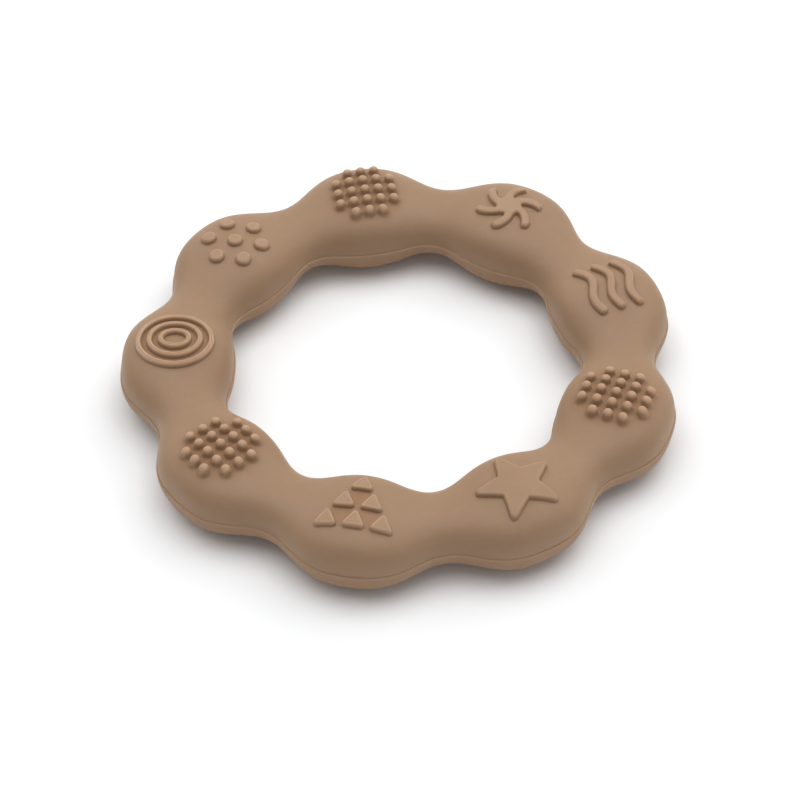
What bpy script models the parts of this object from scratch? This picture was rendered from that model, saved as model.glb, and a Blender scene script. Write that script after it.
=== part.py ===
"""A silicone teething ring: two bonded mouldings, the upper one with a texture on each of nine lobes.

The ring lies flat. Its axis is +Z and its origin is the middle of the ring, in the plane where the
upper and the lower moulding meet. Metres.
"""

import math

import bmesh
import bpy
from mathutils import Matrix, Vector

# The ring
LOBES = 9
CENTRE_RADIUS = 0.0400
FIRST_LOBE = math.radians(90)
LOBE_HALF_WIDTH = 0.0100
NECK_HALF_WIDTH_OUT = 0.0053
NECK_HALF_WIDTH_IN = 0.0075
SHOULDER_OUT = 0.0015
SHOULDER_IN = 0.0006
WIDTH_SWELL_POWER = 1.43
LOBE_HALF_HEIGHT = 0.0067
NECK_HALF_HEIGHT = 0.0050
NECK_HALF_HEIGHT_UNDER = 0.0046
HEIGHT_SWELL_POWER = 0.9
LOBE_SQUARENESS = 3.2
LOBE_SQUARENESS_UNDER = 2.6
NECK_SQUARENESS = 2.45

# Where the two halves meet
PARTING_GAP = 0.0001
PARTING_LIP = 0.0003

# The underside of each lobe ends in a small flat at this depth
REST_DEPTH = LOBE_HALF_HEIGHT - 0.0001

# The raised textures
RELIEF_HEIGHT = 0.00095
SEAT_GAP = 0.00015
PIN_PITCH_ALONG = 0.00254
PIN_PITCH_ACROSS = 0.00275
PIN_RADIUS = 0.0010
PIN_HEIGHT = 0.00165
PIN_SINK = 0.0003
DISC_RADIUS = 0.00142
DISC_PITCH = 0.0050
DISC_CENTRE = (0.0002, 0.00014)
STAR_RADIUS = 0.0085
STAR_INNER_RADIUS = 0.0037
STAR_CENTRE = (0.0001, 0.00014)
STAR_ROUNDING = 0.0008
TRIANGLE_SIDE = 0.0045
TRIANGLE_PITCH = 0.0048
TRIANGLE_ROW_PITCH = 0.00415
TRIANGLE_FIRST_ROW = -0.00335
TRIANGLE_ROUNDING = 0.0006
RIDGE_HALF_WIDTH = 0.0005
RIDGE_HEIGHT = 0.00105
RING_RADII = {"inner": 0.00192, "middle": 0.00395, "outer": 0.00595}
RING_STRETCH = 0.0006
RING_CENTRE = (0.00025, 0.00015)
STROKE_RADIUS = 0.0008
WAVE_PITCH = 0.0035
WAVE_LENGTH = 0.0109
WAVE_SWING = 0.0009
WAVE_START = -0.0056
WAVE_END = 0.0051
WAVE_CREST = -0.0027
WAVE_OFFSET = 0.0004
WAVE_TILT = 0.07
SWIRL_ARMS = 6
SWIRL_RADIUS = 0.00615
SWIRL_TWIST = math.radians(54)
SWIRL_FIRST_TIP = math.radians(26.5)
SWIRL_ARM_HALF_WIDTH = 0.00076
SWIRL_TIP_HALF_WIDTH = 0.00112
SWIRL_TIP_SLANT = 0.0005
SWIRL_CENTRE = (-0.00025, 0.0002)
SWIRL_ROUNDING = 0.0004

# The lobe that carries each texture, counted clockwise from above
PIN_LOBES = (0, 3, 6)
SWIRL_LOBE = 1
WAVE_LOBE = 2
STAR_LOBE = 4
TRIANGLE_LOBE = 5
RING_LOBE = 7
DISC_LOBE = 8

# How finely the curved faces are cut
STEPS_ROUND_RING = 108
STEPS_ROUND_SECTION = 24
STEPS_ROUND_DISC = 12
STEPS_ROUND_RIDGE = 30
RIDGE_SIDES = 6
STEPS_ALONG_STROKE = 12
STEPS_ALONG_ARM = 5
PIN_SEGMENTS = 6
PIN_RINGS = 4
SMOOTH_BELOW = math.radians(40)
MERGE_DISTANCE = 1e-6

# A prism that a plate is cut from stands this high above the parting plane
PRISM_TOP = 0.012

SILICONE = (0.395, 0.263, 0.175, 1.0)
SILICONE_ROUGHNESS = 0.62

ring = bpy.data.collections.new("teething_ring")
cutters = bpy.data.collections.new("cutters")


# ---------------------------------------------------------------- the ring's form


def lobe_share(angle, power=1.0):
    """1 in the middle of a lobe, 0 in the middle of a neck."""
    return ((1 + math.cos(LOBES * (angle - FIRST_LOBE))) / 2) ** power


def shoulder_share(angle):
    """1 half-way between a lobe's middle and a neck's, 0 at both."""
    return math.sin(LOBES * (angle - FIRST_LOBE)) ** 2


def half_width(angle, neck, shoulder):
    """The section's reach from the centre line, on the side with this neck and shoulder."""
    swell = (LOBE_HALF_WIDTH - neck) * lobe_share(angle, WIDTH_SWELL_POWER)
    return neck + swell + shoulder * shoulder_share(angle)


def half_width_towards(angle, side):
    """The reach outwards for a positive side, and inwards for a negative one."""
    if side > 0:
        return half_width(angle, NECK_HALF_WIDTH_OUT, SHOULDER_OUT)
    return half_width(angle, NECK_HALF_WIDTH_IN, SHOULDER_IN)


def half_height(angle, under=False):
    """The skin's greatest distance from the parting plane, above it or under it."""
    neck = NECK_HALF_HEIGHT_UNDER if under else NECK_HALF_HEIGHT
    return neck + (LOBE_HALF_HEIGHT - neck) * lobe_share(angle, HEIGHT_SWELL_POWER)


def squareness(angle, under=False):
    """The section is a superellipse with this power: 2 is an ellipse, more is squarer."""
    lobe = LOBE_SQUARENESS_UNDER if under else LOBE_SQUARENESS
    return NECK_SQUARENESS + (lobe - NECK_SQUARENESS) * lobe_share(angle)


def skin_point(angle, turn, swell=0.0, under=False):
    """The point of the skin at an angle round the ring and a turn round its section. The form of
    the under side is wider by the lip along the joint."""
    power = 2 / squareness(angle, under)
    lip = PARTING_LIP if under else 0.0
    across = math.copysign(abs(math.cos(turn)) ** power, math.cos(turn))
    up = math.copysign(abs(math.sin(turn)) ** power, math.sin(turn))
    width = half_width_towards(angle, across) + swell + lip * (1 - abs(math.sin(turn)))
    radius = CENTRE_RADIUS + width * across
    height = (half_height(angle, under) + swell) * up
    return Vector((radius * math.cos(angle), radius * math.sin(angle), height))


def skin_height(x, y):
    """How high the skin stands above the parting plane over the point x, y."""
    angle = math.atan2(y, x)
    offset = math.hypot(x, y) - CENTRE_RADIUS
    across = min(abs(offset) / half_width_towards(angle, offset), 1.0)
    power = squareness(angle)
    return half_height(angle) * (1 - across**power) ** (1 / power)


def lobe_matrix(lobe):
    """From a lobe's own frame (X clockwise round the ring, Y outwards) to the ring's frame."""
    angle = FIRST_LOBE - math.tau * lobe / LOBES
    turn = Matrix.Rotation(angle - math.pi / 2, 4, "Z")
    return turn @ Matrix.Translation((0, CENTRE_RADIUS, 0))


# ---------------------------------------------------------------- helpers


def clear_scene():
    for item in list(bpy.data.objects):
        bpy.data.objects.remove(item, do_unlink=True)


def silicone(name):
    material = bpy.data.materials.new(name)
    material.use_nodes = True
    shader = material.node_tree.nodes["Principled BSDF"]
    shader.inputs["Base Color"].default_value = SILICONE
    shader.inputs["Roughness"].default_value = SILICONE_ROUGHNESS
    shader.inputs["Metallic"].default_value = 0.0
    return material


def add_object(name, mesh, collection):
    item = bpy.data.objects.new(name, mesh)
    collection.objects.link(item)
    return item


def mesh_from(bm, name):
    bmesh.ops.recalc_face_normals(bm, faces=bm.faces)
    mesh = bpy.data.meshes.new(name)
    bm.to_mesh(mesh)
    bm.free()
    return mesh


def add_part(name, mesh):
    """A finished sub-part, with its own material."""
    part = add_object(name, mesh, ring)
    mesh.materials.clear()
    mesh.materials.append(silicone(name))
    mesh.shade_smooth()
    mesh.set_sharp_from_angle(angle=SMOOTH_BELOW)
    return part


def add_cutter(name, mesh):
    cutter = add_object(name, mesh, cutters)
    cutter.hide_render = True
    cutter.display_type = "WIRE"
    return cutter


def cut_mesh(mesh, steps):
    """The mesh after each (operation, cutter object) of the list."""
    work = add_object("work", mesh, bpy.context.scene.collection)
    for operation, cutter in steps:
        modifier = work.modifiers.new(operation.lower(), "BOOLEAN")
        modifier.operation = operation
        modifier.object = cutter
        modifier.solver = "EXACT"
    bpy.context.view_layer.update()
    done = bpy.data.meshes.new_from_object(work.evaluated_get(bpy.context.evaluated_depsgraph_get()))
    bpy.data.objects.remove(work, do_unlink=True)
    return done


def turn_under(mesh):
    """Mirrors a mesh in the parting plane."""
    mesh.transform(Matrix.Diagonal((1, 1, -1, 1)))
    mesh.flip_normals()


# ---------------------------------------------------------------- the mouldings


def torus_skin(swell=0.0, under=False):
    """A torus whose sections are reshaped to the ring's skin."""
    bpy.ops.mesh.primitive_torus_add(
        major_segments=STEPS_ROUND_RING,
        minor_segments=STEPS_ROUND_SECTION,
        major_radius=CENTRE_RADIUS,
        minor_radius=LOBE_HALF_HEIGHT,
    )
    torus = bpy.context.object
    mesh = torus.data
    bpy.data.objects.remove(torus, do_unlink=True)
    for vertex in mesh.vertices:
        x, y, z = vertex.co
        turn = math.atan2(z, math.hypot(x, y) - CENTRE_RADIUS)
        vertex.co = skin_point(math.atan2(y, x), turn, swell, under)
    return mesh


def half_skin(under=False):
    """A half of the ring, face up, closed by a flat face at the parting plane."""
    bm = bmesh.new()
    bm.from_mesh(torus_skin(under=under))
    below = [vertex for vertex in bm.verts if vertex.co.z < -MERGE_DISTANCE]
    bmesh.ops.delete(bm, geom=below, context="VERTS")
    for vertex in bm.verts:
        vertex.co.z = max(vertex.co.z, PARTING_GAP / 2)
    rims = [item for item in bm.edges if item.is_boundary]
    bmesh.ops.bridge_loops(bm, edges=rims)
    return mesh_from(bm, "half")


def pin_field():
    """The domed pins of the three dotted lobes: five rows of five, without the corners."""
    bm = bmesh.new()
    for lobe in PIN_LOBES:
        for row in range(-2, 3):
            for column in range(-2, 3):
                if abs(row) == 2 and abs(column) == 2:
                    continue
                place = lobe_matrix(lobe) @ Vector((column * PIN_PITCH_ALONG, row * PIN_PITCH_ACROSS, 0))
                place.z = skin_height(place.x, place.y) - PIN_SINK
                tall = Matrix.Diagonal((1, 1, (PIN_HEIGHT + PIN_SINK) / PIN_RADIUS, 1))
                bmesh.ops.create_uvsphere(
                    bm,
                    u_segments=PIN_SEGMENTS,
                    v_segments=PIN_RINGS,
                    radius=PIN_RADIUS,
                    matrix=Matrix.Translation(place) @ tall,
                )
    return mesh_from(bm, "pins")


def table():
    """The space beyond the plane that the ring rests on, while the lower half is still face up."""
    bm = bmesh.new()
    size = 4 * CENTRE_RADIUS
    bmesh.ops.create_cube(bm, size=size, matrix=Matrix.Translation((0, 0, REST_DEPTH + size / 2)))
    return mesh_from(bm, "table")


def make_halves():
    """The upper half with its pins, and the plain lower half with a flat under each lobe."""
    pins = add_cutter("pins", pin_field())
    flats = add_cutter("table", table())
    add_part("upper_half", cut_mesh(half_skin(), [("UNION", pins)]))
    lower = cut_mesh(half_skin(under=True), [("DIFFERENCE", flats)])
    turn_under(lower)
    add_part("lower_half", lower)


# ---------------------------------------------------------------- the reliefs


def prism(points, rounded):
    """An upright prism over a flat outline, with its upright edges rounded."""
    bm = bmesh.new()
    floor = bm.faces.new([bm.verts.new((x, y, 0)) for x, y in points])
    walls = bmesh.ops.extrude_face_region(bm, geom=[floor])
    top = [item for item in walls["geom"] if isinstance(item, bmesh.types.BMVert)]
    bmesh.ops.translate(bm, verts=top, vec=(0, 0, PRISM_TOP))
    upright = [item for item in bm.edges if abs(item.verts[0].co.z - item.verts[1].co.z) > PRISM_TOP / 2]
    corners = [item for item in upright if item.calc_face_angle() > SMOOTH_BELOW]
    bmesh.ops.bevel(bm, geom=corners, offset=rounded, segments=2, profile=0.5, affect="EDGES")
    return mesh_from(bm, "prism")


def polar(radius, angle):
    return radius * math.cos(angle), radius * math.sin(angle)


def moved(points, centre):
    """The points of an outline drawn about the origin, moved to its centre."""
    return [(centre[0] + x, centre[1] + y) for x, y in points]


def plate(outline, rounded, lobe, seat, envelope):
    """A plate that follows the lobe's skin, cut from an upright prism by the skin's two offsets."""
    mesh = prism(outline, rounded)
    mesh.transform(lobe_matrix(lobe))
    return cut_mesh(mesh, [("INTERSECT", envelope), ("DIFFERENCE", seat)])


def star_outline():
    """Five points, with one towards the middle of the ring."""
    radii = (STAR_RADIUS, STAR_INNER_RADIUS)
    corners = (polar(radii[step % 2], -math.pi / 2 + math.pi * step / 5) for step in range(10))
    return moved(corners, STAR_CENTRE)


def triangle_outline(middle, base):
    """A triangle with its base at the height `base` and its point towards the middle of the ring."""
    half = TRIANGLE_SIDE / 2
    tip = base - half * math.sqrt(3)
    return [(middle - half, base), (middle, tip), (middle + half, base)]


def triangle_outlines():
    """Three rows of one, two and three triangles."""
    for row in range(3):
        base = TRIANGLE_FIRST_ROW + row * TRIANGLE_ROW_PITCH
        for place in range(row + 1):
            yield triangle_outline((place - row / 2) * TRIANGLE_PITCH, base)


def disc_centres():
    """One disc in the middle and six around it."""
    around = [polar(DISC_PITCH, math.tau * step / 6) for step in range(6)]
    return moved([(0.0, 0.0)] + around, DISC_CENTRE)


def disc(centre, lobe, seat, envelope):
    bm = bmesh.new()
    bmesh.ops.create_cone(
        bm,
        cap_ends=True,
        segments=STEPS_ROUND_DISC,
        radius1=DISC_RADIUS,
        radius2=DISC_RADIUS,
        depth=PRISM_TOP,
        matrix=Matrix.Translation((centre[0], centre[1], PRISM_TOP / 2)),
    )
    mesh = mesh_from(bm, "disc")
    mesh.transform(lobe_matrix(lobe))
    return cut_mesh(mesh, [("INTERSECT", envelope), ("DIFFERENCE", seat)])


def ridge_ring(radius, lobe, seat):
    """An oval ridge that lies on the skin, longer across the ring than along it."""
    bpy.ops.mesh.primitive_torus_add(
        major_segments=STEPS_ROUND_RIDGE,
        minor_segments=RIDGE_SIDES,
        major_radius=radius,
        minor_radius=RIDGE_HALF_WIDTH,
    )
    torus = bpy.context.object
    mesh = torus.data
    bpy.data.objects.remove(torus, do_unlink=True)
    for vertex in mesh.vertices:
        x, y, z = vertex.co
        stretch = RING_STRETCH * y / math.hypot(x, y)
        tall = z * RIDGE_HEIGHT / RIDGE_HALF_WIDTH
        vertex.co = Vector((x + RING_CENTRE[0], y + stretch + RING_CENTRE[1], tall))
    mesh.transform(lobe_matrix(lobe))
    for vertex in mesh.vertices:
        vertex.co.z += skin_height(vertex.co.x, vertex.co.y)
    return cut_mesh(mesh, [("DIFFERENCE", seat)])


def stroke(points, lobe):
    """A round rod whose middle line lies on the skin of a lobe."""
    curve = bpy.data.curves.new("stroke", "CURVE")
    curve.dimensions = "3D"
    curve.bevel_depth = STROKE_RADIUS
    curve.bevel_resolution = 1
    curve.use_fill_caps = True
    line = curve.splines.new("POLY")
    line.points.add(len(points) - 1)
    for item, (x, y) in zip(line.points, points):
        place = lobe_matrix(lobe) @ Vector((x, y, 0))
        place.z = skin_height(place.x, place.y) + RELIEF_HEIGHT - STROKE_RADIUS
        item.co = (*place, 1)
    rod = add_object("stroke", curve, bpy.context.scene.collection)
    bpy.context.view_layer.update()
    mesh = bpy.data.meshes.new_from_object(rod.evaluated_get(bpy.context.evaluated_depsgraph_get()))
    bpy.data.objects.remove(rod, do_unlink=True)
    bm = bmesh.new()
    bm.from_mesh(mesh)
    bmesh.ops.remove_doubles(bm, verts=bm.verts, dist=MERGE_DISTANCE)
    return mesh_from(bm, "stroke")


def wave_points(number):
    """The middle line of one of the three waves, which run round the ring side by side."""
    for step in range(STEPS_ALONG_STROKE + 1):
        x = WAVE_START + (WAVE_END - WAVE_START) * step / STEPS_ALONG_STROKE
        swing = WAVE_SWING * math.cos(math.tau * (x - WAVE_CREST) / WAVE_LENGTH)
        round_the_ring = WAVE_TILT * x - x**2 / (2 * CENTRE_RADIUS)
        yield x, (number - 1) * WAVE_PITCH + WAVE_OFFSET + swing + round_the_ring


def arm_side(tip, side):
    """One side of an arm of the sun, from the valley beside it to its tip. The tip is cut square to
    the bent arm, so one side is longer than the other."""
    valley = SWIRL_ARM_HALF_WIDTH / math.sin(math.pi / SWIRL_ARMS)
    reach = SWIRL_RADIUS + side * SWIRL_TIP_SLANT
    points = []
    for step in range(STEPS_ALONG_ARM + 1):
        share = step / STEPS_ALONG_ARM
        radius = valley + (reach - valley) * share
        half = SWIRL_ARM_HALF_WIDTH + (SWIRL_TIP_HALF_WIDTH - SWIRL_ARM_HALF_WIDTH) * share
        bend = SWIRL_TWIST * (1 - radius / SWIRL_RADIUS)
        points.append(polar(radius, tip + bend + side * math.asin(half / radius)))
    return points


def swirl_outline():
    """A small sun: six arms that meet in a hub, and that widen and bend clockwise on their way out."""
    outline = []
    for arm in range(SWIRL_ARMS):
        tip = SWIRL_FIRST_TIP + math.tau * arm / SWIRL_ARMS
        outline += arm_side(tip, -1)
        outline += arm_side(tip, 1)[:0:-1]
    return moved(outline, SWIRL_CENTRE)


def relief_meshes(seat, envelope):
    """The name and the mesh of every raised shape on the upper half."""
    yield "swirl", plate(swirl_outline(), SWIRL_ROUNDING, SWIRL_LOBE, seat, envelope)
    for number in range(3):
        rod = stroke(list(wave_points(number)), WAVE_LOBE)
        yield f"wave_{number + 1}", cut_mesh(rod, [("DIFFERENCE", seat)])
    yield "star", plate(star_outline(), STAR_ROUNDING, STAR_LOBE, seat, envelope)
    for number, outline in enumerate(triangle_outlines(), start=1):
        yield f"triangle_{number}", plate(outline, TRIANGLE_ROUNDING, TRIANGLE_LOBE, seat, envelope)
    for name, radius in RING_RADII.items():
        yield f"{name}_ring", ridge_ring(radius, RING_LOBE, seat)
    for number, centre in enumerate(disc_centres(), start=1):
        yield f"disc_{number}", disc(centre, DISC_LOBE, seat, envelope)


def make_reliefs():
    """Each raised shape, a hair above the skin that it belongs to."""
    seat = add_cutter("seat", torus_skin(swell=SEAT_GAP))
    envelope = add_cutter("envelope", torus_skin(swell=RELIEF_HEIGHT))
    for name, mesh in relief_meshes(seat, envelope):
        add_part(name, mesh)


def main():
    clear_scene()
    for collection in (ring, cutters):
        bpy.context.scene.collection.children.link(collection)
    make_halves()
    make_reliefs()


main()
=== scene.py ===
"""The looks of a silicone teething ring: its two mouldings, their raised textures and the studio.

The two skins and the domed pins stand for the CAD's two halves, and every other raised shape for
the node that it is named after. Lengths are in metres, in the frame of the CAD: the ring's axis is
+Z, and the two mouldings meet at z = 0.
"""

import math

import bpy
from mathutils import Matrix, Vector


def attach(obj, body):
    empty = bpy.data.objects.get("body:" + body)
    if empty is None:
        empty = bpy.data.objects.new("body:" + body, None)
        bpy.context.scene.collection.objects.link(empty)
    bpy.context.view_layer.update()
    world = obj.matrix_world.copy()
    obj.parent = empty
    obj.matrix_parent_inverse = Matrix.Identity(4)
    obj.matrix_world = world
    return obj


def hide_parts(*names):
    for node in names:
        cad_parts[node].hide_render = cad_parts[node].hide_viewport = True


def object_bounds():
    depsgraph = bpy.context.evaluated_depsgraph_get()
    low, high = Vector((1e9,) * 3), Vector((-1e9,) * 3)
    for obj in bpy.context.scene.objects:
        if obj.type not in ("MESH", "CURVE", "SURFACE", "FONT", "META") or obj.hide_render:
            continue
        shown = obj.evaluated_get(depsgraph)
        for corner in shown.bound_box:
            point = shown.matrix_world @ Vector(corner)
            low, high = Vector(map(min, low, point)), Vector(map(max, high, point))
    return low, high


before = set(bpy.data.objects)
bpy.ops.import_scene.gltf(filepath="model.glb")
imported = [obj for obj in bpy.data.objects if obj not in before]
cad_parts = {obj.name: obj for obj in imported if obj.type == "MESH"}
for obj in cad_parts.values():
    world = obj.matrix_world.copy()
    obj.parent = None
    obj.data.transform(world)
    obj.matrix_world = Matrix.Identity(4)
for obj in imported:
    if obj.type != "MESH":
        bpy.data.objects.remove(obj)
CAD_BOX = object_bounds()

MM = 0.001

# ---------------------------------------------------------------- the form, as the CAD has it

LOBES = 9
CENTRE_RADIUS = 40.0 * MM
FIRST_LOBE = math.radians(90)
LOBE_HALF_WIDTH = 10.0 * MM
NECK_HALF_WIDTH_OUT = 5.3 * MM
NECK_HALF_WIDTH_IN = 7.5 * MM
SHOULDER_OUT = 1.5 * MM
SHOULDER_IN = 0.6 * MM
WIDTH_SWELL_POWER = 1.43
LOBE_HALF_HEIGHT = 6.7 * MM
NECK_HALF_HEIGHT = 5.0 * MM
NECK_HALF_HEIGHT_UNDER = 4.6 * MM
HEIGHT_SWELL_POWER = 0.9
LOBE_SQUARENESS = 3.2
LOBE_SQUARENESS_UNDER = 2.6
NECK_SQUARENESS = 2.45

# Where the two halves meet
PARTING_LIP = 0.3 * MM
JOINT_DEPTH = 1.2 * MM
JOINT_GAP = 0.005 * MM
GROOVE_ROUND = 0.02 * MM
LIP_ROUND = 0.25 * MM

# The lobe that carries each texture, counted clockwise from above
PIN_LOBES = (0, 3, 6)
SWIRL_LOBE = 1
WAVE_LOBE = 2
STAR_LOBE = 4
TRIANGLE_LOBE = 5
RING_LOBE = 7
DISC_LOBE = 8

# The sides of the textures. DRAFT is how far a side leans in for each metre that it rises
RELIEF_HEIGHT = 0.95 * MM
BASE_FILLET = 0.12 * MM
EDGE_ROUND = 0.36 * MM
DRAFT = 0.1
SINK = 0.05 * MM

# Each texture
PIN_PITCH_ALONG = 2.54 * MM
PIN_PITCH_ACROSS = 2.75 * MM
PIN_RADIUS = 1.02 * MM
PIN_HEIGHT = 1.65 * MM
PIN_DOME = 0.68 * MM
PIN_DRAFT = 0.17
PIN_FILLET = 0.35 * MM
DISC_RADIUS = 1.42 * MM
DISC_EDGE_ROUND = 0.45 * MM
DISC_PITCH = 5.0 * MM
DISC_CENTRE = (0.2 * MM, 0.14 * MM)
STAR_RADIUS = 8.5 * MM
STAR_INNER_RADIUS = 3.7 * MM
STAR_CENTRE = (0.1 * MM, 0.14 * MM)
STAR_CORNER_ROUND = 0.7 * MM
STAR_HOLLOW_ROUND = 0.4 * MM
TRIANGLE_SIDE = 4.5 * MM
TRIANGLE_PITCH = 4.8 * MM
TRIANGLE_ROW_PITCH = 4.15 * MM
TRIANGLE_FIRST_ROW = -3.35 * MM
TRIANGLE_CORNER_ROUND = 0.55 * MM
RIDGE_HALF_WIDTH = 0.5 * MM
RIDGE_HEIGHT = 1.05 * MM
RIDGE_ROUND = 0.4 * MM
RING_RADII = {"inner": 1.92 * MM, "middle": 3.95 * MM, "outer": 5.95 * MM}
RING_STRETCH = 0.6 * MM
RING_CENTRE = (0.25 * MM, 0.15 * MM)
STROKE_HALF_WIDTH = 0.8 * MM
STROKE_ROUND = 0.42 * MM
STROKE_END_POWER = 0.8
WAVE_PITCH = 3.5 * MM
WAVE_LENGTH = 10.9 * MM
WAVE_SWING = 0.9 * MM
WAVE_START = -5.6 * MM
WAVE_END = 5.1 * MM
WAVE_CREST = -2.7 * MM
WAVE_OFFSET = 0.4 * MM
WAVE_TILT = 0.07
SWIRL_ARMS = 6
SWIRL_RADIUS = 6.15 * MM
SWIRL_TWIST = math.radians(54)
SWIRL_FIRST_TIP = math.radians(26.5)
SWIRL_ARM_HALF_WIDTH = 0.76 * MM
SWIRL_TIP_HALF_WIDTH = 1.12 * MM
SWIRL_TIP_SLANT = 0.5 * MM
SWIRL_CENTRE = (-0.25 * MM, 0.2 * MM)
SWIRL_CORNER_ROUND = 0.66 * MM

# How far the corners of a plate's top and the sides of a stroke's top are from closing up
PLATE_CORE = 0.01 * MM
STROKE_CORE = 0.02 * MM

# How finely the surfaces are cut
STEPS_ROUND_RING = 720
STEPS_OVER_SECTION = 56
STEPS_ROUND_CIRCLE = 32
STEPS_ROUND_RIDGE = 96
STEPS_ALONG_WAVE = 48
STEPS_ALONG_EDGE = 10
STEPS_ROUND_CORNER = 6
STEPS_PER_ROUNDING = 5
STEPS_OVER_PLATE = 6
STEPS_OVER_SWIRL = 40
BOSS_TOP_SHARES = (0.85, 0.5, 0.15)

UP = 1
DOWN = -1

# The ring lies on the small flats under its lobes
FLOOR_HEIGHT = CAD_BOX[0][2]
REST_DEPTH = -FLOOR_HEIGHT

# Wear and painted light: 1 where wear and painted highlight pale the silicone, and below 0 where
# painted shade gives it a deeper colour
# The tops and rims of the raised shapes, paled for wear and painted highlight
STAR_WEAR_AND_HIGHLIGHT = 0.08
TRIANGLE_WEAR_AND_HIGHLIGHT = 0.2
DISC_WEAR_AND_HIGHLIGHT = 0.3
WAVE_WEAR_AND_HIGHLIGHT = 0.28
SWIRL_WEAR_AND_HIGHLIGHT = 0.36
PIN_WEAR_AND_HIGHLIGHT = 0.7
RIDGE_WEAR_AND_HIGHLIGHT = 1.0
DISC_RIM_WEAR_AND_HIGHLIGHT = 0.42
TRIANGLE_RIM_WEAR_AND_HIGHLIGHT = 0.5
STAR_RIM_WEAR_AND_HIGHLIGHT = 0.24
# A painted highlight along the joint
JOINT_PAINTED_HIGHLIGHT = 0.35
JOINT_HIGHLIGHT_REACH = 0.45 * MM
# Painted shade at the foot of each raised shape
FOOT_PAINTED_SHADE = -0.35
# Painted shade among the pins
AMONG_PINS_PAINTED_SHADE = -0.95
AMONG_PINS_SPREAD = 1.4 * MM
# Painted shade in the grooves between the rings
BETWEEN_RINGS_PAINTED_SHADE = -0.42
INSIDE_RINGS_TONE = 0.08
# Painted shade among the triangles
AMONG_TRIANGLES_PAINTED_SHADE = -0.4
AMONG_TRIANGLES_FADE = 0.6 * MM
# Painted shade, deeper towards the underside
UNDERSIDE_PAINTED_SHADE = -1.0

# The shares of its height between which a side goes from the foot's painted shade to the rim's wear
# and painted highlight
PALE_SPAN = (0.18, 0.64)
PIN_PALE_SPAN = (0.4, 0.85)


def lobe_share(angle, power=1.0):
    """1 in the middle of a lobe, 0 in the middle of a neck."""
    return ((1 + math.cos(LOBES * (angle - FIRST_LOBE))) / 2) ** power


def half_width(angle, side):
    """The section's reach from the centre line: outwards for a positive side, else inwards."""
    neck = NECK_HALF_WIDTH_OUT if side > 0 else NECK_HALF_WIDTH_IN
    shoulder = SHOULDER_OUT if side > 0 else SHOULDER_IN
    swell = (LOBE_HALF_WIDTH - neck) * lobe_share(angle, WIDTH_SWELL_POWER)
    return neck + swell + shoulder * math.sin(LOBES * (angle - FIRST_LOBE)) ** 2


def half_height(angle, side=UP):
    """The skin's greatest distance from the parting plane, above it or under it."""
    neck = NECK_HALF_HEIGHT if side == UP else NECK_HALF_HEIGHT_UNDER
    return neck + (LOBE_HALF_HEIGHT - neck) * lobe_share(angle, HEIGHT_SWELL_POWER)


def squareness(angle, side=UP):
    """The section is a superellipse with this power: 2 is an ellipse, more is squarer."""
    lobe = LOBE_SQUARENESS if side == UP else LOBE_SQUARENESS_UNDER
    return NECK_SQUARENESS + (lobe - NECK_SQUARENESS) * lobe_share(angle)


def skin_height(x, y):
    """How high the skin stands above the parting plane over the point x, y."""
    angle = math.atan2(y, x)
    offset = math.hypot(x, y) - CENTRE_RADIUS
    across = min(abs(offset) / half_width(angle, offset), 1.0)
    power = squareness(angle)
    return half_height(angle) * (1 - across**power) ** (1 / power)


def lobe_matrix(lobe):
    """From a lobe's own frame (X clockwise round the ring, Y outwards) to the ring's frame."""
    angle = FIRST_LOBE - math.tau * lobe / LOBES
    turn = Matrix.Rotation(angle - math.pi / 2, 4, "Z")
    return turn @ Matrix.Translation((0, CENTRE_RADIUS, 0))


# ---------------------------------------------------------------- mesh helpers


def add_mesh(name, points, faces, wear_and_painted_light=None):
    """The last argument holds a number for each point, which the silicone's colour follows: paler
    for wear and painted highlight, deeper for painted shade.
    """
    mesh = bpy.data.meshes.new(name)
    mesh.from_pydata(points, [], faces)
    mesh.shade_smooth()
    if wear_and_painted_light:
        mesh.attributes.new("wear_and_painted_light", "FLOAT", "POINT").data.foreach_set("value", wear_and_painted_light)
    item = bpy.data.objects.new(name, mesh)
    bpy.context.scene.collection.objects.link(item)
    return item


def strip_faces(first, second, count):
    """Quads between two closed loops of `count` points that start at these indices."""
    for step in range(count):
        after = (step + 1) % count
        yield first + step, first + after, second + after, second + step


def loops_to_faces(loops, count, start):
    """Quads between each loop of `count` points and the next; the loops' numbers are given."""
    for first, second in zip(loops, loops[1:]):
        yield from strip_faces(start + first * count, start + second * count, count)


# ---------------------------------------------------------------- the two mouldings


def quarter_turns():
    """The angles from 0 to a right angle that a rounding is cut at."""
    return [math.pi / 2 * step / STEPS_PER_ROUNDING for step in range(STEPS_PER_ROUNDING + 1)]


def edge_round(radius):
    """A quarter round from the joint's face to the wall, as (inset from the wall, height)."""
    for turn in quarter_turns():
        yield radius * (1 - math.sin(turn)), radius * (1 - math.cos(turn))


def wall_point(angle, way, inset, height, lip):
    """A point of the wall next to the joint, on the outer side of the ring or on the inner one."""
    radius = CENTRE_RADIUS + way * (half_width(angle, way) + lip - inset)
    return radius * math.cos(angle), radius * math.sin(angle), JOINT_GAP + height


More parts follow.
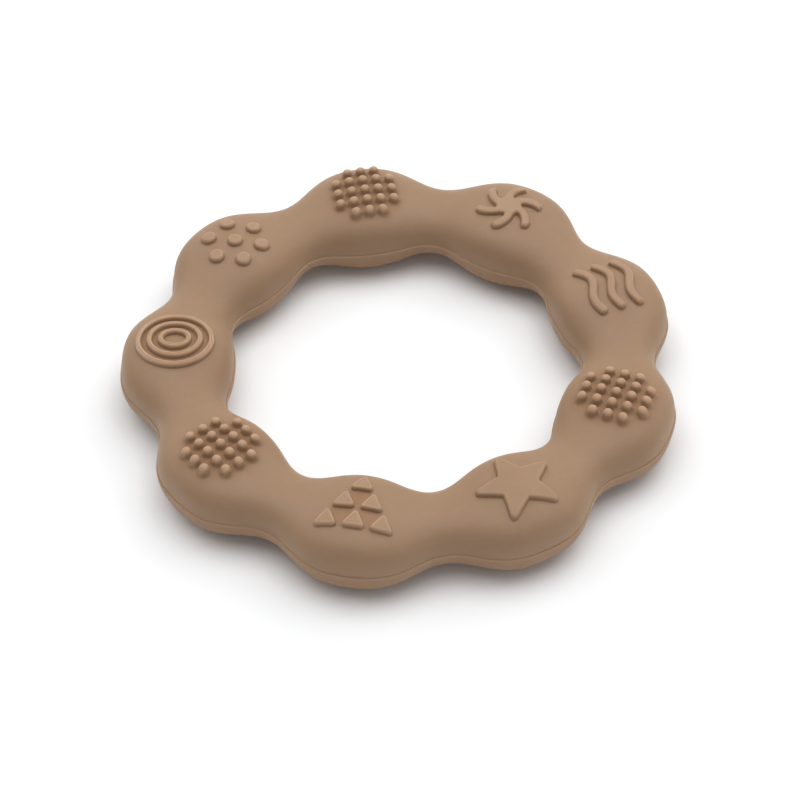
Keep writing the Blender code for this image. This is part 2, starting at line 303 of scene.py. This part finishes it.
def section_points(angle, side, lip, rounding):
    """One section of a half, from the joint on the outer side over the top to the inner side."""
    edge = [(JOINT_DEPTH, 0.0)] + list(edge_round(rounding))
    for inset, height in edge:
        yield wall_point(angle, 1, inset, height, lip)
    power = 2 / squareness(angle, side)
    top = half_height(angle, side)
    start = math.asin(((rounding + JOINT_GAP) / top) ** (1 / power))
    for step in range(1, STEPS_OVER_SECTION):
        turn = start + (math.pi - 2 * start) * step / STEPS_OVER_SECTION
        across = math.copysign(abs(math.cos(turn)) ** power, math.cos(turn))
        width = half_width(angle, across) + lip * (1 - math.sin(turn))
        radius = CENTRE_RADIUS + width * across
        yield radius * math.cos(angle), radius * math.sin(angle), top * math.sin(turn) ** power
    for inset, height in reversed(edge):
        yield wall_point(angle, -1, inset, height, lip)


def clamped(value):
    return min(max(value, 0.0), 1.0)


def painted_shade_among_pins(x, y):
    """Painted shade: deeper where pins stand on all sides."""
    near = 0.0
    for pin_x, pin_y in pin_places():
        near += math.exp(-((x - pin_x) ** 2 + (y - pin_y) ** 2) / AMONG_PINS_SPREAD**2)
    return AMONG_PINS_PAINTED_SHADE * clamped(near)


def painted_shade_between_rings(x, y):
    """Painted shade: deeper in the grooves, less so inside the inner ring, and none outside the
    outer one.
    """
    x -= RING_CENTRE[0]
    y -= RING_CENTRE[1]
    never_zero = 0.01 * MM
    distance = math.hypot(x, y) + never_zero
    radius = distance - RING_STRETCH * (y / distance) ** 2
    inside = clamped((RING_RADII["outer"] - radius) / RIDGE_HALF_WIDTH)
    groove = clamped((radius - RING_RADII["inner"]) / RIDGE_HALF_WIDTH)
    return inside * (INSIDE_RINGS_TONE + (BETWEEN_RINGS_PAINTED_SHADE - INSIDE_RINGS_TONE) * groove)


def painted_shade_among_triangles(x, y):
    """Painted shade: deeper inside the big triangle that the small ones make up."""
    last_row = TRIANGLE_FIRST_ROW + 2 * TRIANGLE_ROW_PITCH
    edge_slope = TRIANGLE_ROW_PITCH / (TRIANGLE_PITCH / 2)
    tip = TRIANGLE_FIRST_ROW - TRIANGLE_SIDE / 2 * edge_slope
    inside = min(last_row - y, (y - tip) / edge_slope - abs(x))
    return AMONG_TRIANGLES_PAINTED_SHADE * clamped(inside / AMONG_TRIANGLES_FADE)


def painted_highlight_at_joint(z):
    """A painted highlight: paler along the edges that the two halves meet in."""
    return JOINT_PAINTED_HIGHLIGHT * clamped(1 - z / JOINT_HIGHLIGHT_REACH)


def painted_light_above(x, y, z):
    """The painted light of the upper half's skin: a painted highlight along the joint, painted
    shade between the raised shapes.
    """
    lobe = round((FIRST_LOBE - math.atan2(y, x)) * LOBES / math.tau) % LOBES
    place = lobe_matrix(lobe).inverted() @ Vector((x, y, 0))
    wear_and_painted_light = painted_highlight_at_joint(z)
    if lobe in PIN_LOBES:
        wear_and_painted_light += painted_shade_among_pins(place.x, place.y)
    if lobe == RING_LOBE:
        wear_and_painted_light += painted_shade_between_rings(place.x, place.y)
    if lobe == TRIANGLE_LOBE:
        wear_and_painted_light += painted_shade_among_triangles(place.x, place.y)
    return wear_and_painted_light


def painted_light_below(x, y, z):
    """The painted light of the lower half's skin: a painted highlight along the joint, painted
    shade deeper and deeper underneath.
    """
    return painted_highlight_at_joint(z) + UNDERSIDE_PAINTED_SHADE * clamped(z / REST_DEPTH)


def half_moulding(name, side):
    """The skin of the upper or the lower half, turned in a short way along the joint."""
    lip = 0.0 if side == UP else PARTING_LIP
    rounding = GROOVE_ROUND if side == UP else LIP_ROUND
    painted_light_at = painted_light_above if side == UP else painted_light_below
    points = []
    wear_and_painted_light = []
    for column in range(STEPS_ROUND_RING):
        angle = math.tau * column / STEPS_ROUND_RING
        section = list(section_points(angle, side, lip, rounding))
        # Each point's painted highlight along the joint and painted shade between shapes and
        # underneath
        wear_and_painted_light += [painted_light_at(x, y, z) for x, y, z in section]
        points += [(x, y, z if side == UP else -min(z, REST_DEPTH)) for x, y, z in section]
    loops = list(range(STEPS_ROUND_RING)) + [0]
    faces = list(loops_to_faces(loops, len(section), 0))
    if side == DOWN:
        faces = [face[::-1] for face in faces]
    return add_mesh(name, points, faces, wear_and_painted_light)


# ---------------------------------------------------------------- raised shapes


def on_skin(lobe, x, y, height):
    """The point at a height above the skin of a lobe."""
    place = lobe_matrix(lobe) @ Vector((x, y, 0))
    return place.x, place.y, skin_height(place.x, place.y) + height


def side_loops(
    outline_at, height, rounding, rim_wear_and_highlight, draft=DRAFT, fillet=BASE_FILLET, pale=PALE_SPAN
):
    """The side of a raised shape, from just under the skin to its top, as (outline, height, wear
    and painted light). `outline_at` gives the outline at a distance outside the nominal one. The
    colour goes from painted shade at the foot to a pale rim, paled for wear and painted highlight,
    between two shares of the height."""
    pale_from, pale_to = pale
    # The foot of the side is painted shade
    loops = [(outline_at(fillet + SINK), -SINK, FOOT_PAINTED_SHADE)]
    for turn in quarter_turns():
        level = fillet * (1 - math.cos(turn))
        outside = fillet * (1 - math.sin(turn)) - draft * level
        loops.append((outline_at(outside), level, FOOT_PAINTED_SHADE))
    for turn in quarter_turns():
        level = height - rounding * (1 - math.sin(turn))
        outside = -rounding * (1 - math.cos(turn)) - draft * level
        # Towards the rim the side is paled for wear and painted highlight
        paled = clamped((level / height - pale_from) / (pale_to - pale_from))
        loops.append((outline_at(outside), level, FOOT_PAINTED_SHADE + (rim_wear_and_highlight - FOOT_PAINTED_SHADE) * paled))
    return loops


class Relief:
    """The mesh of one or more shapes raised on a lobe, built up loop by loop."""

    def __init__(self, lobe):
        self.lobe = lobe
        self.points = []
        self.wear_and_painted_light = []
        self.faces = []

    def add_loops(self, loops, joined=False):
        """Each loop is (outline, height, wear and painted light). A joined shape is a ridge: its
        last loop meets its first one. Any other shape is capped at both ends."""
        start = len(self.points)
        count = len(loops[0][0])
        for outline, height, wear_and_painted_light in loops:
            self.points += [on_skin(self.lobe, x, y, height) for x, y in outline]
            self.wear_and_painted_light += [wear_and_painted_light] * count
        order = list(range(len(loops)))
        if joined:
            order.append(0)
        self.faces += loops_to_faces(order, count, start)
        if not joined:
            self.faces.append(tuple(reversed(range(start, start + count))))
            last = start + (len(loops) - 1) * count
            self.faces.append(tuple(range(last, last + count)))

    def finish(self, name):
        return add_mesh(name, self.points, self.faces, self.wear_and_painted_light)


def one_shape(lobe, loops, joined=False):
    """A relief of a single shape."""
    relief = Relief(lobe)
    relief.add_loops(loops, joined)
    return relief


def polar(radius, angle):
    return radius * math.cos(angle), radius * math.sin(angle)


def circle(radius, centre):
    turns = (math.tau * step / STEPS_ROUND_CIRCLE for step in range(STEPS_ROUND_CIRCLE))
    points = (polar(radius, turn) for turn in turns)
    return [(centre[0] + x, centre[1] + y) for x, y in points]


def boss_loops(radius, height, rounding, centre, wear_and_painted_light, rim_wear_and_highlight, **shape):
    """A round boss: its side, then smaller circles to the middle of its top."""

    def outline_at(outside):
        return circle(radius + outside, centre)

    loops = side_loops(outline_at, height, rounding, rim_wear_and_highlight, **shape)
    top = math.dist(loops[-1][0][0], centre)
    for share in BOSS_TOP_SHARES:
        loops.append((circle(top * share, centre), height, wear_and_painted_light))
    return loops


def normal_between(first, second):
    """The outward normal of an edge of an outline that runs anticlockwise."""
    along = Vector((second[0] - first[0], second[1] - first[1])).normalized()
    return Vector((along.y, -along.x))


def corner_arcs(corners, corner_round, hollow_round):
    """For each corner: the middle its rounding turns about, its first angle, its turn, and whether
    it is hollow. A full corner's middle lies inside the outline, and a hollow one's outside."""
    arcs = []
    total = len(corners)
    for number, corner in enumerate(corners):
        before = normal_between(corners[number - 1], corner)
        after = normal_between(corner, corners[(number + 1) % total])
        mitre = (before + after) / (1 + before.dot(after))
        start = math.atan2(before.y, before.x)
        turn = (math.atan2(after.y, after.x) - start + math.pi) % math.tau - math.pi
        shift = -corner_round if turn > 0 else hollow_round
        arcs.append((Vector(corner) + mitre * shift, start, turn, turn < 0))
    return arcs


def rounded_outline(arcs, corner_round, hollow_round, outside):
    """The outline at a distance outside the nominal one, with every corner rounded."""
    ends = []
    for middle, start, turn, is_hollow in arcs:
        radius = outside - hollow_round if is_hollow else outside + corner_round
        steps = STEPS_ROUND_CORNER
        angles = (start + turn * step / steps for step in range(steps + 1))
        ends.append([middle + Vector(polar(radius, angle)) for angle in angles])
    outline = []
    for number, corner in enumerate(ends):
        outline += corner
        leave = corner[-1]
        arrive = ends[(number + 1) % len(ends)][0]
        shares = (step / STEPS_ALONG_EDGE for step in range(1, STEPS_ALONG_EDGE))
        outline += [leave.lerp(arrive, share) for share in shares]
    return [tuple(point) for point in outline]


def plate_loops(
    corners,
    corner_round,
    hollow_round,
    wear_and_painted_light,
    rim_wear_and_highlight,
    rounding=EDGE_ROUND,
    steps=STEPS_OVER_PLATE,
    bend=None,
):
    """A flat-topped plate with rounded corners, whose top is cut in `steps` loops. `bend` moves
    each point of its outline."""
    arcs = corner_arcs(corners, corner_round, hollow_round)

    def outline_at(outside):
        return rounded_outline(arcs, corner_round, hollow_round, outside)

    loops = side_loops(outline_at, RELIEF_HEIGHT, rounding, rim_wear_and_highlight)
    core = outline_at(PLATE_CORE - corner_round)
    middle = Vector((sum(x for x, y in corners), sum(y for x, y in corners))) / len(corners)
    for step in range(steps):
        inner = [tuple(middle.lerp(Vector(point), 1 - step / steps)) for point in core]
        loops.append((inner, RELIEF_HEIGHT, wear_and_painted_light))
    if bend:
        loops = [([bend(x, y) for x, y in outline], *rest) for outline, *rest in loops]
    return loops


def moved(loops, centre):
    """The loops of a shape drawn about the origin, moved to its centre."""
    across, out = centre
    return [([(across + x, out + y) for x, y in outline], *rest) for outline, *rest in loops]


def stroke_outline(line, distance):
    """The outline at a distance from a middle line, with squarish round ends."""
    sides = []
    for number, point in enumerate(line):
        before = line[max(number - 1, 0)]
        after = line[min(number + 1, len(line) - 1)]
        sides.append((point, normal_between(before, after)))
    right = [point + normal * distance for point, normal in sides]
    left = [point - normal * distance for point, normal in reversed(sides)]
    last_end = stroke_end(*sides[-1], distance, 1)
    first_end = stroke_end(*sides[0], distance, -1)
    return [tuple(point) for point in right + last_end + left + first_end]


def stroke_end(point, normal, distance, way):
    """The points between the two sides of a stroke round one of its ends."""
    along = Vector((-normal.y, normal.x)) * way
    end = []
    for step in range(1, 2 * STEPS_ROUND_CORNER):
        turn = math.pi * step / (2 * STEPS_ROUND_CORNER)
        side = math.copysign(abs(math.cos(turn)) ** STROKE_END_POWER, math.cos(turn)) * way
        ahead = math.sin(turn) ** STROKE_END_POWER
        end.append(point + (normal * side + along * ahead) * distance)
    return end


def stroke_loops(line):
    """A flat-topped stroke along a middle line."""

    def outline_at(outside):
        return stroke_outline(line, STROKE_HALF_WIDTH + outside)

    loops = side_loops(outline_at, RELIEF_HEIGHT, STROKE_ROUND, WAVE_WEAR_AND_HIGHLIGHT)
    loops.append((stroke_outline(line, STROKE_CORE), RELIEF_HEIGHT, WAVE_WEAR_AND_HIGHLIGHT))
    return loops


def oval(radius):
    """An oval round the middle of the rings, longer across the ring than along it."""
    outline = []
    for step in range(STEPS_ROUND_RIDGE):
        x, y = polar(1.0, math.tau * step / STEPS_ROUND_RIDGE)
        outline.append((RING_CENTRE[0] + radius * x, RING_CENTRE[1] + (radius + RING_STRETCH) * y))
    return outline


def ridge_loops(radius):
    """A ridge along an oval: up its outer side and down its inner one."""

    def outer(outside):
        return oval(radius + RIDGE_HALF_WIDTH + outside)

    def inner(outside):
        return oval(radius - RIDGE_HALF_WIDTH - outside)

    up, down = (side_loops(at, RIDGE_HEIGHT, RIDGE_ROUND, RIDGE_WEAR_AND_HIGHLIGHT) for at in (outer, inner))
    return up + down[::-1]


# ---------------------------------------------------------------- the textures of each lobe


def pin_places():
    """Five rows of five, without the corners."""
    for row in range(-2, 3):
        for column in range(-2, 3):
            if abs(row) < 2 or abs(column) < 2:
                yield column * PIN_PITCH_ALONG, row * PIN_PITCH_ACROSS


def pins(lobe):
    relief = Relief(lobe)
    sizes = (PIN_RADIUS, PIN_HEIGHT, PIN_DOME)
    shape = {"draft": PIN_DRAFT, "fillet": PIN_FILLET, "pale": PIN_PALE_SPAN}
    for place in pin_places():
        relief.add_loops(boss_loops(*sizes, place, PIN_WEAR_AND_HIGHLIGHT, PIN_WEAR_AND_HIGHLIGHT, **shape))
    return relief


def disc(centre):
    sizes = (DISC_RADIUS, RELIEF_HEIGHT, DISC_EDGE_ROUND)
    return one_shape(DISC_LOBE, boss_loops(*sizes, centre, DISC_WEAR_AND_HIGHLIGHT, DISC_RIM_WEAR_AND_HIGHLIGHT))


def disc_centres():
    """One disc in the middle and six around it."""
    yield DISC_CENTRE
    for step in range(6):
        x, y = polar(DISC_PITCH, math.tau * step / 6)
        yield DISC_CENTRE[0] + x, DISC_CENTRE[1] + y


def star():
    """Five points, with one towards the middle of the ring."""
    radii = (STAR_RADIUS, STAR_INNER_RADIUS)
    corners = [polar(radii[step % 2], -math.pi / 2 + math.pi * step / 5) for step in range(10)]
    roundings = (STAR_CORNER_ROUND, STAR_HOLLOW_ROUND)
    loops = plate_loops(corners, *roundings, STAR_WEAR_AND_HIGHLIGHT, STAR_RIM_WEAR_AND_HIGHLIGHT)
    return one_shape(STAR_LOBE, moved(loops, STAR_CENTRE))


def triangle(middle, base):
    """A triangle with its base at this height and its point towards the middle of the ring."""
    half = TRIANGLE_SIDE / 2
    tip = base - half * math.sqrt(3)
    corners = [(middle + half, base), (middle - half, base), (middle, tip)]
    roundings = (TRIANGLE_CORNER_ROUND, 0.0)
    loops = plate_loops(corners, *roundings, TRIANGLE_WEAR_AND_HIGHLIGHT, TRIANGLE_RIM_WEAR_AND_HIGHLIGHT)
    return one_shape(TRIANGLE_LOBE, loops)


def triangle_places():
    """Three rows of one, two and three triangles."""
    for row in range(3):
        for place in range(row + 1):
            yield (place - row / 2) * TRIANGLE_PITCH, TRIANGLE_FIRST_ROW + row * TRIANGLE_ROW_PITCH


def ridge_ring(radius):
    return one_shape(RING_LOBE, ridge_loops(radius), joined=True)


def wave(number):
    """One of the three waves, which run round the ring side by side."""
    line = []
    for step in range(STEPS_ALONG_WAVE + 1):
        x = WAVE_START + (WAVE_END - WAVE_START) * step / STEPS_ALONG_WAVE
        swing = WAVE_SWING * math.cos(math.tau * (x - WAVE_CREST) / WAVE_LENGTH)
        round_the_ring = WAVE_TILT * x - x**2 / (2 * CENTRE_RADIUS)
        line.append(Vector((x, (number - 1) * WAVE_PITCH + WAVE_OFFSET + swing + round_the_ring)))
    return one_shape(WAVE_LOBE, stroke_loops(line))


def twisted(x, y):
    """Bends the straight arms of the sun: the nearer to the hub, the more they turn back."""
    radius = math.hypot(x, y)
    return polar(radius, math.atan2(y, x) + SWIRL_TWIST * (1 - radius / SWIRL_RADIUS))


def swirl():
    """A small sun: a hub with six arms that bend clockwise on their way out."""
    corners = []
    valley = SWIRL_ARM_HALF_WIDTH / math.sin(math.pi / SWIRL_ARMS)
    for arm in range(SWIRL_ARMS):
        tip = SWIRL_FIRST_TIP + math.tau * arm / SWIRL_ARMS
        spread = math.atan2(SWIRL_TIP_HALF_WIDTH, SWIRL_RADIUS)
        corners.append(polar(SWIRL_RADIUS - SWIRL_TIP_SLANT, tip - spread))
        corners.append(polar(SWIRL_RADIUS + SWIRL_TIP_SLANT, tip + spread))
        corners.append(polar(valley, tip + math.pi / SWIRL_ARMS))
    loops = plate_loops(
        corners,
        SWIRL_CORNER_ROUND,
        SWIRL_CORNER_ROUND,
        SWIRL_WEAR_AND_HIGHLIGHT,
        SWIRL_WEAR_AND_HIGHLIGHT,
        rounding=STROKE_ROUND,
        steps=STEPS_OVER_SWIRL,
        bend=twisted,
    )
    return one_shape(SWIRL_LOBE, moved(loops, SWIRL_CENTRE))


def reliefs():
    """The mesh of each raised shape, under the name of the CAD node that it stands for."""
    yield "swirl", swirl()
    for number in range(3):
        yield f"wave_{number + 1}", wave(number)
    yield "star", star()
    for number, (middle, base) in enumerate(triangle_places(), start=1):
        yield f"triangle_{number}", triangle(middle, base)
    for name, radius in RING_RADII.items():
        yield f"{name}_ring", ridge_ring(radius)
    for number, centre in enumerate(disc_centres(), start=1):
        yield f"disc_{number}", disc(centre)


# ---------------------------------------------------------------- the silicone

TAN = (0.327, 0.205, 0.119, 1.0)
TAN_DEEP = (0.317, 0.196, 0.113, 1.0)
TAN_PALE = (0.350, 0.223, 0.133, 1.0)
# The paler colour, for wear and painted highlight
TAN_WORN_AND_HIGHLIGHT = (0.504, 0.334, 0.212, 1.0)
# The deeper colour, for painted shade
TAN_PAINTED_SHADE = (0.281, 0.133, 0.054, 1.0)
ROUGHNESS = (0.5, 0.64)
SPECK_STRENGTH = 0.5
UNDULATION_DEPTH = 0.12 * MM
GRAIN_DEPTH = 0.012 * MM

# Its noises: features for each metre, and detail
CLOUDS = (60.0, 3.0)
SPECKS = (900.0, 2.0)
SMEARS = (160.0, 4.0)
UNDULATION = (120.0, 2.0)
GRAIN = (3200.0, 3.0)

# The span that a noise's values are stretched from: most of them, or only the highest
MOST_VALUES = (0.3, 0.7)
HIGH_VALUES = (0.5, 0.8)


def add_node(tree, kind, **settings):
    """A shader node with these properties."""
    node = tree.nodes.new(kind)
    for key, value in settings.items():
        setattr(node, key, value)
    return node


def noise(tree, place, scale, detail):
    node = add_node(tree, "ShaderNodeTexNoise")
    node.inputs["Scale"].default_value = scale
    node.inputs["Detail"].default_value = detail
    tree.links.new(place, node.inputs["Vector"])
    return node.outputs["Fac"]


def remap(tree, value, low, high, out_low, out_high):
    node = add_node(tree, "ShaderNodeMapRange")
    node.inputs["From Min"].default_value = low
    node.inputs["From Max"].default_value = high
    node.inputs["To Min"].default_value = out_low
    node.inputs["To Max"].default_value = out_high
    tree.links.new(value, node.inputs["Value"])
    return node.outputs["Result"]


def mix_colour(tree, share, first, second):
    node = add_node(tree, "ShaderNodeMix", data_type="RGBA")
    tree.links.new(share, node.inputs["Factor"])
    for socket, colour in ((node.inputs["A"], first), (node.inputs["B"], second)):
        if isinstance(colour, tuple):
            socket.default_value = colour
        else:
            tree.links.new(colour, socket)
    return node.outputs["Result"]


def bump(tree, height, distance, normal=None):
    node = add_node(tree, "ShaderNodeBump")
    node.inputs["Distance"].default_value = distance
    node.inputs["Strength"].default_value = 1.0
    tree.links.new(height, node.inputs["Height"])
    if normal:
        tree.links.new(normal, node.inputs["Normal"])
    return node.outputs["Normal"]


def silicone():
    """Matt tan silicone: cloudy pigment with paler specks, a patchy gloss, a slight undulation and
    a fine moulded grain. Its colour follows wear and painted light: paler for wear and painted
    highlight, deeper for painted shade."""
    material = bpy.data.materials.new("tan_silicone")
    material.use_nodes = True
    tree = material.node_tree
    shader = tree.nodes["Principled BSDF"]
    place = add_node(tree, "ShaderNodeTexCoord").outputs["Object"]
    clouds = remap(tree, noise(tree, place, *CLOUDS), *MOST_VALUES, 0.0, 1.0)
    specks = remap(tree, noise(tree, place, *SPECKS), *HIGH_VALUES, 0.0, SPECK_STRENGTH)
    colour = mix_colour(tree, clouds, TAN, TAN_DEEP)
    colour = mix_colour(tree, specks, colour, TAN_PALE)
    wear_and_painted_light = add_node(tree, "ShaderNodeAttribute", attribute_name="wear_and_painted_light").outputs["Fac"]
    # Paled for wear and painted highlight, deepened for painted shade
    colour = mix_colour(tree, remap(tree, wear_and_painted_light, 0.0, 1.0, 0.0, 1.0), colour, TAN_WORN_AND_HIGHLIGHT)
    colour = mix_colour(tree, remap(tree, wear_and_painted_light, 0.0, -1.0, 0.0, 1.0), colour, TAN_PAINTED_SHADE)
    tree.links.new(colour, shader.inputs["Base Color"])
    smears = remap(tree, noise(tree, place, *SMEARS), *MOST_VALUES, *ROUGHNESS)
    tree.links.new(smears, shader.inputs["Roughness"])
    undulation = bump(tree, noise(tree, place, *UNDULATION), UNDULATION_DEPTH)
    grain = bump(tree, noise(tree, place, *GRAIN), GRAIN_DEPTH, undulation)
    tree.links.new(grain, shader.inputs["Normal"])
    shader.inputs["IOR"].default_value = 1.43
    shader.inputs["Subsurface Weight"].default_value = 0.8
    shader.inputs["Subsurface Radius"].default_value = (1.0, 0.6, 0.35)
    shader.inputs["Subsurface Scale"].default_value = 0.5 * MM
    shader.inputs["Sheen Weight"].default_value = 0.04
    shader.inputs["Sheen Roughness"].default_value = 0.5
    return material


# ---------------------------------------------------------------- assembly


def place_piece(piece, material, node):
    piece.data.materials.append(material)
    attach(piece, "root")
    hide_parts(node)


def build_ring():
    material = silicone()
    place_piece(half_moulding("upper_half_skin", UP), material, "upper_half")
    place_piece(half_moulding("lower_half_skin", DOWN), material, "lower_half")
    for number, lobe in enumerate(PIN_LOBES, start=1):
        place_piece(pins(lobe).finish(f"pins_{number}"), material, "upper_half")
    for name, relief in reliefs():
        place_piece(relief.finish(f"{name}_raised"), material, name)


# ---------------------------------------------------------------- the studio

CAMERA_AZIMUTH = math.radians(-8.99)
CAMERA_ELEVATION = math.radians(45.3)
CAMERA_DISTANCE = 508 * MM
CAMERA_ROLL = math.radians(-0.9)
LENS_MM = 127.6
SENSOR_MM = 36.0
SHIFT = (-0.0014, -0.0414)
NEAREST_SEEN = 50 * MM
FLOOR_HALF_SIZE = 3.0
FLOOR_WHITE = (0.91, 0.92, 0.93, 1.0)
FLOOR_FIBRES = (900.0, 2.0)
FLOOR_FIBRE_DEPTH = 0.02 * MM
SKY_STRENGTH = 0.36
SOFTBOX_DISTANCE = 1.2
SOFTBOX_SIDE = 1.1

# The name of each softbox, its azimuth and elevation in degrees, and its power in watts
SOFTBOXES = (
    ("overhead", 180.0, 89.9, 5.4),
    ("right_behind", 120.0, 55.0, 6.3),
    ("left_behind", 240.0, 55.0, 4.1),
    ("behind", 180.0, 22.0, 2.5),
    ("right_front", 60.0, 22.0, 1.65),
)


def direction(azimuth, elevation):
    """The unit vector from the ring to something seen at an azimuth, with 0 in front at -Y."""
    flat = math.cos(elevation)
    return Vector((flat * math.sin(azimuth), -flat * math.cos(azimuth), math.sin(elevation)))


def aimed(place, roll=0.0):
    """The rotation of a camera or lamp at this place that looks at the middle of the ring."""
    return (-place).to_track_quat("-Z", "Y").to_matrix() @ Matrix.Rotation(roll, 3, "Z")


def add_camera():
    data = bpy.data.cameras.new("camera")
    data.lens = LENS_MM
    data.sensor_width = SENSOR_MM
    data.shift_x, data.shift_y = SHIFT
    data.clip_start = NEAREST_SEEN
    camera = bpy.data.objects.new("camera", data)
    place = direction(CAMERA_AZIMUTH, CAMERA_ELEVATION) * CAMERA_DISTANCE
    camera.matrix_world = Matrix.Translation(place) @ aimed(place, CAMERA_ROLL).to_4x4()
    bpy.context.scene.collection.objects.link(camera)
    bpy.context.scene.camera = camera


def add_softbox(name, azimuth, elevation, power):
    data = bpy.data.lights.new(name, "AREA")
    data.shape = "RECTANGLE"
    data.size = SOFTBOX_SIDE
    data.size_y = SOFTBOX_SIDE
    data.energy = power
    lamp = bpy.data.objects.new(name, data)
    place = direction(math.radians(azimuth), math.radians(elevation)) * SOFTBOX_DISTANCE
    lamp.matrix_world = Matrix.Translation(place) @ aimed(place).to_4x4()
    bpy.context.scene.collection.objects.link(lamp)


def add_floor():
    half = FLOOR_HALF_SIZE
    corners = [(-half, -half), (half, -half), (half, half), (-half, half)]
    floor = add_mesh("floor", [(x, y, FLOOR_HEIGHT) for x, y in corners], [(0, 1, 2, 3)])
    material = bpy.data.materials.new("white_paper")
    material.use_nodes = True
    tree = material.node_tree
    shader = tree.nodes["Principled BSDF"]
    place = add_node(tree, "ShaderNodeTexCoord").outputs["Object"]
    fibres = noise(tree, place, *FLOOR_FIBRES)
    tree.links.new(bump(tree, fibres, FLOOR_FIBRE_DEPTH), shader.inputs["Normal"])
    shader.inputs["Base Color"].default_value = FLOOR_WHITE
    shader.inputs["Roughness"].default_value = 0.9
    shader.inputs["Specular IOR Level"].default_value = 0.2
    floor.data.materials.append(material)


def add_sky():
    world = bpy.data.worlds.new("studio")
    world.use_nodes = True
    background = world.node_tree.nodes["Background"]
    background.inputs["Color"].default_value = (1.0, 1.0, 1.0, 1.0)
    background.inputs["Strength"].default_value = SKY_STRENGTH
    bpy.context.scene.world = world


def add_studio():
    add_camera()
    add_floor()
    add_sky()
    for softbox in SOFTBOXES:
        add_softbox(*softbox)
    bpy.context.scene.view_settings.view_transform = "Standard"


def main():
    build_ring()
    add_studio()


main()
